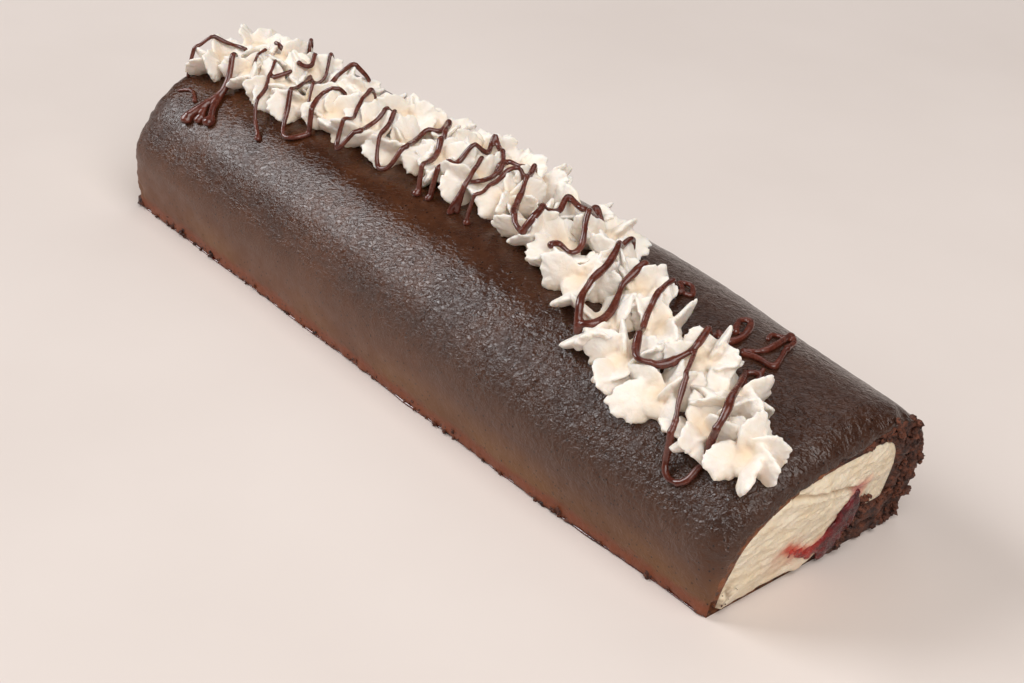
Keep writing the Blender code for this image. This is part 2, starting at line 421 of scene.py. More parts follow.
def lift_off_floor(points):
    for p in points:
        p.z = max(p.z, 0.1 * MM)


# ---- material nodes


class Nodes:
    """Short ways to add and join the nodes of one material."""

    def __init__(self, name):
        self.material = bpy.data.materials.new(name)
        self.material.use_nodes = True
        self.tree = self.material.node_tree
        self.shader = self.tree.nodes["Principled BSDF"]
        self.place = self.add("ShaderNodeTexCoord").outputs["Object"]

    def join(self, value, socket):
        """Link an output to a socket, or set the socket to a plain value or colour."""
        if isinstance(value, bpy.types.NodeSocket):
            self.tree.links.new(value, socket)
        elif socket.type == "RGBA":
            socket.default_value = (*value, 1.0)
        else:
            socket.default_value = value

    def give(self, node, **given):
        """Join a node's inputs, named with a capital and _ for a space, and set its settings."""
        for key, value in given.items():
            if key[0].isupper():
                self.join(value, node.inputs[key.replace("_", " ")])
            else:
                setattr(node, key, value)

    def add(self, kind, **given):
        node = self.tree.nodes.new(kind)
        self.give(node, **given)
        return node

    def math(self, operation, a, b=0.0, clamp=False):
        node = self.add("ShaderNodeMath", operation=operation, use_clamp=clamp)
        self.join(a, node.inputs[0])
        self.join(b, node.inputs[1])
        return node.outputs[0]

    def plus(self, a, b, clamp=False):
        return self.math("ADD", a, b, clamp)

    def times(self, a, b):
        return self.math("MULTIPLY", a, b)

    def stretch(self, scale, turn):
        """The object's coordinates, turned by degrees and then scaled along each axis."""
        turn = [math.radians(a) for a in turn]
        node = self.add("ShaderNodeMapping", vector_type="TEXTURE", Vector=self.place, Rotation=turn)
        self.give(node, Scale=[1.0 / s for s in scale])
        return node.outputs[0]

    def noise(self, scale, detail=3.0, roughness=0.5, distortion=0.0, at=None):
        node = self.add("ShaderNodeTexNoise", Vector=at or self.place, Scale=scale)
        self.give(node, Detail=detail, Roughness=roughness, Distortion=distortion)
        return node.outputs["Fac"]

    def cells(self, scale, feature="F1"):
        node = self.add("ShaderNodeTexVoronoi", feature=feature, Vector=self.place, Scale=scale)
        return node.outputs["Distance"]

    def level(self, value, low, high, to_low=0.0, to_high=1.0):
        """Map low..high to to_low..to_high, clamped."""
        node = self.add("ShaderNodeMapRange", clamp=True, Value=value, From_Min=low, From_Max=high)
        self.give(node, To_Min=to_low, To_Max=to_high)
        return node.outputs["Result"]

    def around(self, value, reach, to_low=0.0, to_high=1.0):
        """Map a noise, from reach below its middle to reach above it, to to_low..to_high."""
        return self.level(value, 0.5 - reach, 0.5 + reach, to_low, to_high)

    def blend(self, amount, a, b, kind="MIX"):
        """Mix two colours, each an output or a plain (r, g, b)."""
        node = self.add("ShaderNodeMix", data_type="RGBA", blend_type=kind, Factor=amount, A=a, B=b)
        return node.outputs["Result"]

    def axis(self, letter):
        return self.add("ShaderNodeSeparateXYZ", Vector=self.place).outputs[letter]

    def tint(self, name):
        return self.add("ShaderNodeAttribute", attribute_name=name).outputs["Color"]

    def bump(self, height, distance, strength):
        node = self.add("ShaderNodeBump", Height=height, Distance=distance, Strength=strength)
        return node.outputs["Normal"]

    def finish(self, colour, roughness, normal, **plain):
        """The material, with its shader's main inputs joined, and others by name."""
        self.give(self.shader, Base_Color=colour, Roughness=roughness, Normal=normal, **plain)
        return self.material


# ---- materials

SKIN_DARK = (0.045, 0.014, 0.0055)
SKIN_BROWN = (0.082, 0.027, 0.01)
# Painted sheen: a greyer brown for the skin near the cut
SKIN_PAINTED_SHEEN = (0.042, 0.02, 0.0135)
SKIN_MOTTLE = (0.026, 0.009, 0.005)
# Painted reflection: warm and golden colours for the lower flank and foot
SKIN_WARM_REFLECTION = (0.155, 0.055, 0.02)
SKIN_GOLD_REFLECTION = (0.2, 0.085, 0.022)
SKIN_SPECK = (0.012, 0.005, 0.0035)
FOOT_CRUST = (0.19, 0.046, 0.014)
CRUMB_DARK = (0.024, 0.006, 0.0032)
CRUMB_BROWN = (0.165, 0.046, 0.019)
CRUMB_PORE = (0.01, 0.003, 0.002)
# Painted shade for the deep places of the broken sponge
CRUMB_PAINTED_SHADE = (0.012, 0.0035, 0.0022)
FILLING_LIGHT = (0.79, 0.69, 0.54)
FILLING_DEEP = (0.74, 0.61, 0.43)
FILLING_PORE = (0.62, 0.42, 0.22)
PIPED_WHITE = (0.88, 0.82, 0.755)
PIPED_WARM = (0.865, 0.78, 0.69)
# Painted shade for the hollows between the petals
PIPED_PAINTED_SHADE = (0.8, 0.62, 0.42)
CHERRY_BLACK = (0.022, 0.0016, 0.0032)
CHERRY_DARK = (0.115, 0.0045, 0.0085)
CHERRY_RED = (0.2, 0.008, 0.006)
CHERRY_BRIGHT = (0.48, 0.03, 0.016)
RIND_DARK = (0.042, 0.012, 0.005)
RIND_ORANGE = (0.24, 0.075, 0.022)
DRIZZLE_DARK = (0.07, 0.0145, 0.0085)
DRIZZLE_BROWN = (0.125, 0.027, 0.014)
SYRUP_DARK = (0.05, 0.006, 0.005)
SYRUP_RED = (0.15, 0.02, 0.008)


def skin_finish():
    """Dark leathery sponge skin: fine wrinkles, satin sheen, smoother low down; a sheen is painted in
    near the cut, and a warm reflection is painted low down, where it looks lighter.
    """
    n = Nodes("roulade_skin")
    height = n.axis("Z")
    near = n.level(n.axis("X"), -0.04, 0.1)
    low = n.level(height, 0.036, 0.01)

    colour = n.blend(n.around(n.noise(34.0, 5.0, 0.62), 0.14), SKIN_DARK, SKIN_BROWN)
    # Painted sheen: the skin is painted greyer towards the cut end
    colour = n.blend(n.times(near, 0.6), colour, SKIN_PAINTED_SHEEN)
    mottle = n.around(n.noise(260.0, 3.0, 0.6), 0.12)
    colour = n.blend(n.times(mottle, 0.45), colour, SKIN_MOTTLE)
    # Painted reflection: the lower flank is painted warmer and lighter, less so near the cut
    colour = n.blend(n.times(low, n.level(near, 0.0, 1.0, 0.85, 0.62)), colour, SKIN_WARM_REFLECTION)
    # Painted reflection: golden patches painted near the foot
    gold_reflection = n.times(n.level(height, 0.02, 0.007), n.around(n.noise(18.0), 0.1))
    colour = n.blend(n.times(gold_reflection, 0.7), colour, SKIN_GOLD_REFLECTION)
    ragged = n.plus(height, n.times(n.noise(190.0, 4.0, 0.6), 0.008))
    colour = n.blend(n.level(ragged, 0.0115, 0.008), colour, FOOT_CRUST)
    colour = n.blend(n.level(n.cells(430.0), 0.11, 0.18), SKIN_SPECK, colour)

    drawn = n.stretch((0.42, 1.0, 1.0), (0.0, 0.0, 28.0))
    folds = n.math("ABSOLUTE", n.math("SUBTRACT", n.noise(720.0, 3.0, 0.55, 0.4, drawn), 0.5))
    folds = n.times(n.level(folds, 0.0, 0.14), n.level(near, 0.0, 1.0, 1.0, 0.38))
    pebbles = n.math("SUBTRACT", 1.0, n.cells(500.0, "SMOOTH_F1"))
    pebbles = n.times(pebbles, n.level(near, 0.0, 1.0, 0.15, 0.5))
    lumps = n.times(n.noise(430.0, 2.0, 0.5, 0.6), n.level(near, 0.0, 1.0, 0.1, 4.2))
    grain = n.times(n.noise(1500.0, 2.0), 0.22)
    wrinkle = n.plus(n.plus(n.plus(folds, pebbles), lumps), grain)

    calm_top = n.math("MAXIMUM", n.times(near, 0.7), n.level(height, 0.05, 0.058, 1.0, 0.3))
    calm_side = n.level(height, 0.034, 0.018, 1.0, 0.35)
    calm = n.times(n.times(calm_side, n.level(near, 0.0, 1.0, 0.48, 1.25)), calm_top)

    rough = n.around(n.noise(120.0, 5.0, 0.7), 0.15, 0.17, 0.33)
    rough = n.times(rough, n.level(height, 0.048, 0.058, 1.0, 0.48))
    rough = n.plus(rough, n.times(low, 0.3), clamp=True)
    normal = n.bump(n.times(wrinkle, calm), 0.00026, 0.85)
    return n.finish(colour, rough, normal, IOR=1.5, Specular_IOR_Level=0.45)


def crumb_finish():
    """Moist broken chocolate sponge, redder than the skin, with dark pores, and painted shade where it
    lies deep.
    """
    n = Nodes("roulade_crumb")
    patch = n.noise(190.0, 5.0, 0.68)
    cells = n.cells(800.0)
    colour = n.blend(n.around(patch, 0.12), CRUMB_DARK, CRUMB_BROWN)
    colour = n.blend(n.level(cells, 0.15, 0.32), CRUMB_PORE, colour)
    # Painted shade: darker where the broken sponge lies deeper, from its tint
    colour = n.blend(n.tint("painted_shade"), colour, CRUMB_PAINTED_SHADE)
    broken = n.plus(n.noise(900.0, 4.0, 0.7), n.times(cells, 0.8))
    return n.finish(colour, n.around(patch, 0.2, 0.42, 0.75), n.bump(broken, 0.0009, 0.9))


def filling_finish():
    """Cut cream filling: warm white, with faint pores, smears, and stains and painted shade along its
    seam from its tint.
    """
    n = Nodes("roulade_filling")
    patch = n.noise(120.0, 4.0, 0.6)
    colour = n.blend(n.around(patch, 0.15), FILLING_LIGHT, FILLING_DEEP)
    colour = n.blend(n.level(n.cells(620.0), 0.04, 0.1), FILLING_PORE, colour)
    # The tint holds the cherry's stains and the painted shade along the seam
    stained_and_shaded = n.blend(1.0, colour, n.tint("stain_and_shade"), "MULTIPLY")
    wipe = n.noise(230.0, 3.0, 0.55, 0.8, n.stretch((1.0, 1.0, 0.35), (25.0, 0.0, 0.0)))
    height = n.plus(wipe, n.times(n.noise(1500.0, 2.0), 0.3))
    return n.finish(
        stained_and_shaded,
        n.around(patch, 0.2, 0.38, 0.5),
        n.bump(height, 0.0011, 0.7),
        Subsurface_Weight=0.15,
        Subsurface_Scale=0.003,
        Subsurface_Radius=(1.0, 0.6, 0.35),
    )


def piped_finish():
    """Whipped cream: bright, with warm shade painted into its hollows by its tint, and a soft satin
    surface.
    """
    n = Nodes("roulade_piped_cream")
    patch = n.noise(260.0, 4.0, 0.6)
    colour = n.blend(n.around(patch, 0.15), PIPED_WHITE, PIPED_WARM)
    # Painted shade: warmer and darker between the petals and round each star's foot
    colour = n.blend(n.tint("hollow"), colour, PIPED_PAINTED_SHADE)
    height = n.plus(n.noise(900.0, 3.0, 0.6), n.times(n.noise(3200.0, 2.0), 0.4))
    return n.finish(
        colour,
        n.around(patch, 0.2, 0.42, 0.58),
        n.bump(height, 0.00036, 0.65),
        Subsurface_Weight=0.35,
        Subsurface_Scale=0.003,
        Subsurface_Radius=(1.0, 0.72, 0.48),
        Specular_IOR_Level=0.35,
    )


def cherry_finish():
    """Wet cherry: bright red where it is thin, darker and purple where it lies thick."""
    n = Nodes("roulade_cherry")
    patch = n.around(n.noise(230.0, 4.0, 0.6), 0.12)
    dark = n.blend(patch, CHERRY_BLACK, CHERRY_DARK)
    bright = n.blend(patch, CHERRY_RED, CHERRY_BRIGHT)
    colour = n.blend(n.level(n.axis("Y"), -0.01, 0.002), bright, dark)
    rough = n.around(n.noise(500.0, 3.0, 0.6), 0.15, 0.1, 0.36)
    normal = n.bump(n.noise(700.0, 4.0, 0.65), 0.0007, 0.7)
    return n.finish(colour, rough, normal, Specular_IOR_Level=0.4)


def rind_finish():
    """The cut edge of the thin baked skin: orange-brown, moist and fine-grained."""
    n = Nodes("roulade_rind")
    patch = n.noise(320.0, 4.0, 0.65)
    colour = n.blend(n.around(patch, 0.12), RIND_DARK, RIND_ORANGE)
    normal = n.bump(n.noise(1000.0, 3.0, 0.7), 0.0006, 0.8)
    return n.finish(colour, n.around(patch, 0.2, 0.35, 0.6), normal)


def drizzle_finish():
    """Set dark chocolate: red-brown and glossy."""
    n = Nodes("roulade_drizzle")
    patch = n.noise(300.0, 3.0, 0.6)
    colour = n.blend(n.around(patch, 0.15), DRIZZLE_DARK, DRIZZLE_BROWN)
    normal = n.bump(n.noise(420.0), 0.0004, 0.35)
    return n.finish(colour, n.around(patch, 0.2, 0.2, 0.32), normal, Coat_Weight=0.15)


def syrup_finish():
    """Dark red syrup that has seeped out under the roll."""
    n = Nodes("roulade_syrup")
    patch = n.noise(120.0, 3.0, 0.6)
    colour = n.blend(n.around(patch, 0.15), SYRUP_DARK, SYRUP_RED)
    normal = n.bump(n.noise(500.0), 0.0003, 0.5)
    return n.finish(colour, n.around(patch, 0.2, 0.08, 0.2), normal, Coat_Weight=0.6)


# ---- sponge

# The soft crease along the front, which fades out at CREASE_END
CREASE_FAR = 0.0385
CREASE_NEAR = 0.03
CREASE_END = 0.04
CREASE_WANDER = 0.0012
KNEE = 1.3
KNEE_ABOVE = 0.012
KNEE_BELOW = 0.013
# Where the skin grows finer towards the cut, and how far its ragged rims reach
LEATHER_START = -0.03
LEATHER_LENGTH = 0.12
FOOT_RAGGED = 0.0055
END_RAGGED = 0.01
# The broken sponge at the ends: full relief from this thickness, a split along its middle
# behind, an undercut below and calm margins
ROUGH_FROM = 0.012
SPLIT_PLACE = 0.5
SPLIT_WIDE = 0.12
SPLIT_DEPTH = 6.0
UNDERCUT = 2.2
MARGIN = 0.12
THIN_RIND = 0.006
# How deep the broken sponge lies where its painted shade is full
SHADE_DEPTH = 0.0018
# The sponge's materials by number
SKIN = 0
BROKEN = 1
RIND = 2


def skin_relief(p, x):
    """How far the skin stands out at the point p of the section at x."""
    near = ramp(x, LEATHER_START, LEATHER_LENGTH)
    out = 0.7 * noise.noise(p * 15.0) + 0.4 * noise.noise(p * 42.0 + Vector((5.0, 0.0, 0.0)))
    drawn = Vector((p.x * 60.0 + p.y * 90.0, p.y * 160.0 - p.x * 40.0, p.z * 160.0))
    out += 0.09 * noise.noise(drawn) * (1.0 - 0.5 * near)
    out += (0.05 + 0.12 * near) * cloudy(p, 210.0, 2) + 0.05 * near * noise.noise(p * 430.0)
    if p.y < 0.0:
        line = mix(CREASE_FAR, CREASE_NEAR, (x - ROLL_FAR) / (CREASE_END - ROLL_FAR))
        line += CREASE_WANDER * wave(x * 40.0, 0.0, 3.0)
        off = p.z - line
        knee = max(0.0, 1.0 - abs(off) / (KNEE_ABOVE if off > 0.0 else KNEE_BELOW))
        out += KNEE * knee * (1.0 - ramp(x, CREASE_END - 0.05, 0.06))
    low = 1.0 - smooth(p.z / FOOT_RAGGED)
    out += low * (0.9 * noise.noise(p * 330.0) - 0.9)
    end = ramp(x, ROLL_CUT - END_RAGGED, END_RAGGED)
    end += smooth((ROLL_FAR + END_RAGGED - x) / END_RAGGED)
    out += end * (0.9 * noise.noise(p * 160.0) + 0.45 * noise.noise(p * 420.0))
    return out * MM


def cut_relief(p, across, thickness):
    """How far the broken sponge stands out of the end's plane, across the ring from 0 to 1."""
    rough = min(1.0, thickness / ROUGH_FROM)
    out = (0.25 + 0.75 * rough) * (1.3 * cloudy(p, 230.0) + 0.7 * noise.noise(p * 700.0))
    out += 2.3 * rough * noise.noise(p * 120.0)
    if p.y > 0.0:
        off = abs(across - SPLIT_PLACE + 0.22 * noise.noise(p * 80.0))
        split = max(0.0, 1.0 - off / SPLIT_WIDE)
        out -= SPLIT_DEPTH * split * rough * ramp(p.y, 0.004, 0.02)
    out -= UNDERCUT * (1.0 - ramp(p.z, 0.003, 0.006)) * (1.0 - ramp(p.y, -0.012, 0.02))
    fade = min(1.0, across / MARGIN, (1.0 - across) / MARGIN)
    return out * MM * mix(0.25, 1.0, max(0.0, fade))


def displaced_skin(loops, places):
    """The outer loops, moved along their normals by the skin's relief."""
    grid = np.array([[tuple(p) for p in loop] for loop in loops])
    around = np.roll(grid, -1, axis=1) - np.roll(grid, 1, axis=1)
    normals = np.cross(around, np.gradient(grid, axis=0))
    normals /= np.maximum(np.linalg.norm(normals, axis=2, keepdims=True), 1e-12)
    made = []
    for row, x, directions in zip(loops, places, normals):
        moved = []
        for p, direction in zip(row, directions):
            at = p.copy()
            if p.z >= 1e-6:
                at += Vector(direction) * skin_relief(p, x)
                at.z = max(0.0, at.z)
            moved.append(at)
        made.append(moved)
    return made


def ring_loops(outer, hollow, out):
    """Loops across an end's broken sponge, from the skin to the hollow, and their painted shade, darker
    where they lie deeper.
    """
    loops = []
    shade_greys = []
    for k in range(1, RING_STEPS):
        loop = []
        for a, b in zip(outer, hollow):
            p = a.lerp(b, k / RING_STEPS)
            relief = cut_relief(p, k / RING_STEPS, (a - b).length)
            at = p + out * relief
            at.z = max(0.2 * MM, at.z)
            loop.append(at)
            shade_greys.append(min(1.0, max(0.0, -relief / SHADE_DEPTH)))
        loops.append(loop)
    return loops, shade_greys


def add_sponge(crumb):
    """The roll: its skin, the broken sponge of both ends and the wall of its hollow."""
    places = stations()
    outer = displaced_skin([outer_section(x) for x in places], places)
    hollow = [hollow_section(x) for x in reversed(HOLLOW_PLACES)]
    near, near_shade_greys = ring_loops(outer[-1], hollow[0], CUT_OUT)
    far, _ = ring_loops(outer[0], hollow[-1], FAR_OUT)
    loops = outer + near + hollow + far[::-1]
    size = len(outer[0])
    shade_greys = np.zeros(len(loops) * size)
    first = len(outer) * size
    shade_greys[first : first + len(near_shade_greys)] = near_shade_greys
    ends = [RIND if (a - b).length < THIN_RIND else BROKEN for a, b in zip(outer[-1], hollow[0])]
    skin_rows = len(outer) - 1
    indices = [SKIN] * (skin_rows * size) + ends * (len(loops) - skin_rows)
    points = [p for loop in loops for p in loop]
    faces = loop_faces(len(loops), size, closed=True)
    finishes = [skin_finish(), crumb, rind_finish()]
    piece = add_piece("roulade_sponge", points, faces, finishes, indices)
    # Painted shade in the recesses of the broken sponge, as a tint
    add_tint(piece.data, "painted_shade", greys(shade_greys))
    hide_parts("chocolate_sponge")
    return piece


# ---- stars

# A star's sizes in millimetres, and its petals' shares of them, bends in millimetres and
# turns in radians
STAR_LENGTH = (12.6, 14.2)
STAR_HEIGHT = (12.2, 13.8)
STAR_PETALS = (6, 6, 7, 7)
STAR_SEED = 100
PETAL_LONGER = (0.9, 1.08)
PETAL_TALLER = (0.88, 1.12)
PETAL_TURN = 0.12
PETAL_TWIST = 0.22
PETAL_LEAN = (0.1, 0.45)
PETAL_CURL = 2.4
PETAL_SWAY = 1.6
PETAL_PLUMP = (1.45, 2.05)
PETAL_EDGE = 0.36
PETAL_RUFFLE = 1.1
PETAL_SQUARE = 0.74
CREAM_RELIEF = 0.16
# How far a petal may fold over sideways
FOLDS = (-0.9, -0.62, -0.25, 0.25, 0.62, 0.9)
FOLD_MORE = 0.15
# How far a petal runs past the middle between two stars, and its least share of its length
PETAL_CROSS = 0.0026
PETAL_LEAST = 0.6
# The hollows between a star's petals and round its foot, where warmer shade is painted into the cream
HOLLOW_WIDE = 0.0085
HOLLOW_FAR = 0.012
HOLLOW_LOW = 0.005
HOLLOW_TALL = 0.007
FOOT_TALL = 0.005


def petal_shell(points, faces, frame_of, rng, length, height):
    """Append one petal: an upright ragged fin that fans out from the star's axis."""
    middle_r = 0.47 * length
    reach_r = 0.55 * length
    middle_h = 0.46 * height
    reach_h = 0.54 * height
    lean = rng.uniform(*PETAL_LEAN)
    curl = either_way(rng, 1.0) * PETAL_CURL * MM
    sway = either_way(rng, 1.0) * PETAL_SWAY * MM
    plump = rng.uniform(*PETAL_PLUMP) * MM
    phase = rng.uniform(0.0, 100.0)

    def rim(angle):
        """Distance to the petal's rim, as a share of its fan."""
        way = Vector((math.cos(angle), math.sin(angle)))

        def ragged(scale, shift):
            return wave(way.x * scale, way.y * scale, phase + shift)

        torn = 0.15 * ragged(3.6, 5.0) + 0.16 * ragged(8.5, 9.0)
        return 1.0 + 0.16 * ragged(1.5, 0.0) + torn * ramp(way.x, -0.45, 0.5)

    def squared(value):
        """Push a sine or cosine outwards, for a fan with fuller corners."""
        return math.copysign(abs(value) ** PETAL_SQUARE, value)

    def at(angle, share, side):
        """The point of one side of the petal, a share of the way out to its rim."""
        across = math.cos(angle)
        up = math.sin(angle)
        size = rim(angle) * share
        h = middle_h + reach_h * size * squared(up)
        r = middle_r + reach_r * size * squared(across)
        r += lean * (h - middle_h) * 0.6
        thick = plump * (1.0 - share) ** 0.55 + PETAL_EDGE * MM
        thick *= mix(1.2, 0.85, smooth(h / height))
        ruffle = wave(across * 3.0, up * 3.0, phase + 30.0)
        off = curl * (r / length) ** 2 + sway * (h / height) ** 2
        off += PETAL_RUFFLE * MM * ruffle * share**2
        return frame_of @ Vector((r, off + side * thick, h))

    start = len(points)
    for side in (1.0, -1.0):
        points.append(at(0.0, 0.0, side))
        for k in range(1, PETAL_RINGS + 1):
            for i in range(PETAL_AROUND):
                angle = 2.0 * math.pi * i / PETAL_AROUND
                points.append(at(angle, (k / PETAL_RINGS) ** 0.8, side))
    half = 1 + PETAL_RINGS * PETAL_AROUND
    for base, way in ((start, 1), (start + half, -1)):
        faces += dome_faces(base, base + 1, PETAL_AROUND, PETAL_RINGS, way)
    edge = start + half - PETAL_AROUND
    faces += band_faces(edge, edge + half, PETAL_AROUND)


def front_line(x):
    """The y of the front row's line at x."""
    if x >= FRONT_LINE[0][0]:
        return FRONT_LINE[0][1]
    for (x0, y0), (x1, y1) in zip(FRONT_LINE, FRONT_LINE[1:]):
        if x >= x1:
            return mix(y0, y1, (x0 - x) / (x0 - x1))
    return FRONT_LINE[-1][1]


def star_centres(start, count, share, wander):
    """Centres on the skin of one row, a share of the way from the front line to the back."""
    centres = []
    for i in range(count):
        x = start - STAR_SPACING * i + either_way(wander, STAR_WANDER_X)
        apart = mix(ROWS_APART_CUT, ROWS_APART, smooth((SPREAD_START - x) / SPREAD_LENGTH))
        y = front_line(x) + share * apart + either_way(wander, STAR_WANDER_Y)
        centres.append(Vector((x, y, skin_height(x, y) + STAR_LIFT)))
    return centres


def star_groups():
    """The star centres of each CAD node: the front row one by one, the back row in pairs."""
    wander = random.Random(WANDER_SEED)
    front = star_centres(FRONT_ROW_START, FRONT_STARS, 0.0, wander)
    back = star_centres(BACK_ROW_START, BACK_STARS, 1.0, wander)
    groups = [[centre] for centre in front]
    return groups + [back[i : i + PAIR_SIZE] for i in range(0, BACK_STARS, PAIR_SIZE)]


def star_frame(centre, up, angle):
    """A frame at centre with Z along up and X the way of the angle."""
    along = Vector((math.cos(angle), math.sin(angle), 0.0))
    side = up.cross(along).normalized()
    along = side.cross(up).normalized()
    turned = Matrix((along, side, up)).transposed().to_4x4()
    turned.translation = centre
    return turned


def petal_reach(reach, length, centre, angle, centres):
    """A petal's length, cut short where it meets a neighbour's."""
    way = Vector((math.cos(angle), math.sin(angle), 0.0))
    for other in centres:
        apart = other - centre
        ahead = apart.dot(way)
        if 0.5 * length < apart.length < 3.0 * length and ahead > 0.3 * apart.length:
            meet = apart.length_squared / 2.0 / ahead + PETAL_CROSS
            reach = min(reach, max(PETAL_LEAST * length, meet))
    return reach


def shape_star(points, faces, centre, centres, rng):
    """Append one star's petals and core."""
    up = skin_normal(centre.x, centre.y)
    centre = centre - up * STAR_LIFT
    length = rng.uniform(*STAR_LENGTH) * MM
    height = rng.uniform(*STAR_HEIGHT) * MM
    turn = rng.uniform(0.0, 2.0 * math.pi)
    petals = rng.choice(STAR_PETALS)
    for k in range(petals):
        angle = turn + 2.0 * math.pi * k / petals + either_way(rng, PETAL_TURN)
        reach = length * rng.uniform(*PETAL_LONGER)
        reach = petal_reach(reach, length, centre, angle, centres)
        tall = height * rng.uniform(*PETAL_TALLER)
        folded = rng.choice(FOLDS) + either_way(rng, FOLD_MORE)
        frame_of = star_frame(centre, up, angle) @ Matrix.Rotation(folded, 4, "X")
        frame_of = frame_of @ Matrix.Rotation(either_way(rng, PETAL_TWIST), 4, "Z")
        petal_shell(points, faces, frame_of, rng, reach, tall)
    core = Matrix.Translation(centre + up * 0.2 * height)
    core = core @ star_frame(Vector(), up, turn)
    core = core @ Matrix.Diagonal((0.5 * length, 0.5 * length, 0.32 * height, 1.0))
    add_ball(points, faces, core, steps=10, around=16)


def star_painted_shade(places, group):
    """How deep each point lies between the petals of its star, and half as deep at its foot, as a grey
    from 0 to 1 for the painted shade there.
    """
    painted_shade = np.zeros(len(places))
    for centre in group:
        up = np.array(skin_normal(centre.x, centre.y))
        away = places - np.array(centre)
        tall = away @ up
        wide = np.linalg.norm(away - np.outer(tall, up), axis=1)
        inner = np.clip(1.0 - wide / HOLLOW_WIDE, 0.0, 1.0)
        buried = np.clip(1.0 - (tall - HOLLOW_LOW) / HOLLOW_TALL, 0.0, 1.0)
        foot = np.clip(1.0 - tall / FOOT_TALL, 0.0, 1.0)
        painted_shade = np.maximum(painted_shade, np.maximum(inner * buried, 0.5 * foot * (wide < HOLLOW_FAR)))
    return greys(painted_shade)


def add_star(number, group, centres, finish):
    """The star or pair of stars that stands for one CAD node."""
    rng = random.Random(STAR_SEED + number)
    points = []
    faces = []
    for centre in group:
        shape_star(points, faces, centre, centres, rng)

    def relief(p):
        return CREAM_RELIEF * MM * noise.noise(p * 620.0)

    places, polygons = fuse("star", points, faces, STAR_VOXEL, 1, relief)
    piece = add_piece(f"cream_star_{number:02d}", places, polygons, [finish])
    # Painted shade between the petals and at the foot, as a tint
    add_tint(piece.data, "hollow", star_painted_shade(places, group))
    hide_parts(f"piped_star_{number:02d}")
    return piece


def add_stars():
    groups = star_groups()
    centres = [centre for group in groups for centre in group]
    finish = piped_finish()
    return [add_star(i, group, centres, finish) for i, group in enumerate(groups, start=1)]


# ---- the cream and cherry inside

# The seam where the cream was rolled up, as y and z over the cut
SEAM = ((-0.027, 0.042), (-0.01, 0.0378), (0.008, 0.031))
SEAM_WIDE = 0.0016
SEAM_DEPTH = 1.8
CREAM_BULGE = 1.8
# The cherry's smear over the cut, then its foot: y, z and size
CHERRY_SMEAR = (
    (-0.0205, 0.0172, 0.001),
    (-0.0165, 0.0142, 0.002),
    (-0.012, 0.0112, 0.0026),
    (-0.0075, 0.009, 0.0026),
    (-0.002, 0.0085, 0.0034),
    (0.0025, 0.0115, 0.005),
    (0.005, 0.0165, 0.0046),
    (0.007, 0.0215, 0.0038),
    (0.0088, 0.0258, 0.0022),
    (0.0106, 0.0292, 0.0009),
)
CHERRY_FOOT = (
    (0.0035, 0.006, 0.0034),
    (0.0062, 0.01, 0.0044),
    (0.0085, 0.015, 0.0044),
    (0.0105, 0.0205, 0.0034),
    (0.0118, 0.025, 0.002),
)
SMEAR_SEED = 7
SMEAR_STEPS = 4
SMEAR_WANDER = 0.55
SMEAR_DENT = 0.45
# The smear lies almost flat on the cream up to this y, thicker past it and thin at its top
THIN_UP_TO = -0.011
THIN_ABOVE = 0.02
THIN_LENGTH = 0.01
SMEAR_THIN = 0.0009
SMEAR_THICK = 0.0016
STRAND_PLACE = (-0.003, 0.0095)
STRAND_RADIUS = 0.0045
STRAND_STEPS = 40
CHERRY_RELIEF = 0.38
# Stains on the cream, and the colour of the painted shade along its seam
PINK = (0.85, 0.42, 0.36)
RED = (0.66, 0.08, 0.05)
PURPLE = (0.62, 0.36, 0.44)
GRIME = (0.25, 0.16, 0.1)
# Painted shade for the seam's groove
SEAM_SHADE = (0.62, 0.46, 0.3)
ROSY_PLACE = (-0.022, 0.014)
PURPLE_PLACE = (0.0105, 0.03)
GRIME_PLACE = (-0.046, 0.0075)


def line_distance(y, z, line):
    """Least distance from (y, z) to a chain of points."""
    best = 1.0
    for a, b in zip(line, line[1:]):
        dy = b[0] - a[0]
        dz = b[1] - a[1]
        t = ((y - a[0]) * dy + (z - a[1]) * dz) / (dy * dy + dz * dz)
        t = min(1.0, max(0.0, t))
        best = min(best, math.hypot(y - a[0] - dy * t, z - a[1] - dz * t))
    return best


def cream_relief(p, share):
    """How far the cream stands out of the cut, at a share of the way to its edge."""
    out = CREAM_BULGE * (1.0 - share**3)
    out += 0.9 * noise.noise(p * 55.0) + 0.35 * cloudy(p, 190.0)
    wiped = Vector((p.x * 90.0, p.y * 150.0 + p.z * 60.0, p.z * 420.0 - p.y * 130.0))
    out += 0.75 * noise.noise(wiped) + 0.4 * noise.noise(wiped * 2.3)
    seam = line_distance(p.y, p.z, SEAM)
    out -= SEAM_DEPTH * max(0.0, 1.0 - seam / SEAM_WIDE)
    out += 0.7 * smooth(1.0 - seam / 0.008) * (1.0 if p.z > 0.036 else -0.2)
    low = 1.0 - smooth(p.z / 0.01)
    out += CREAM_BULGE * low * (1.0 - ramp(p.y, -0.006, 0.01))
    return out * MM


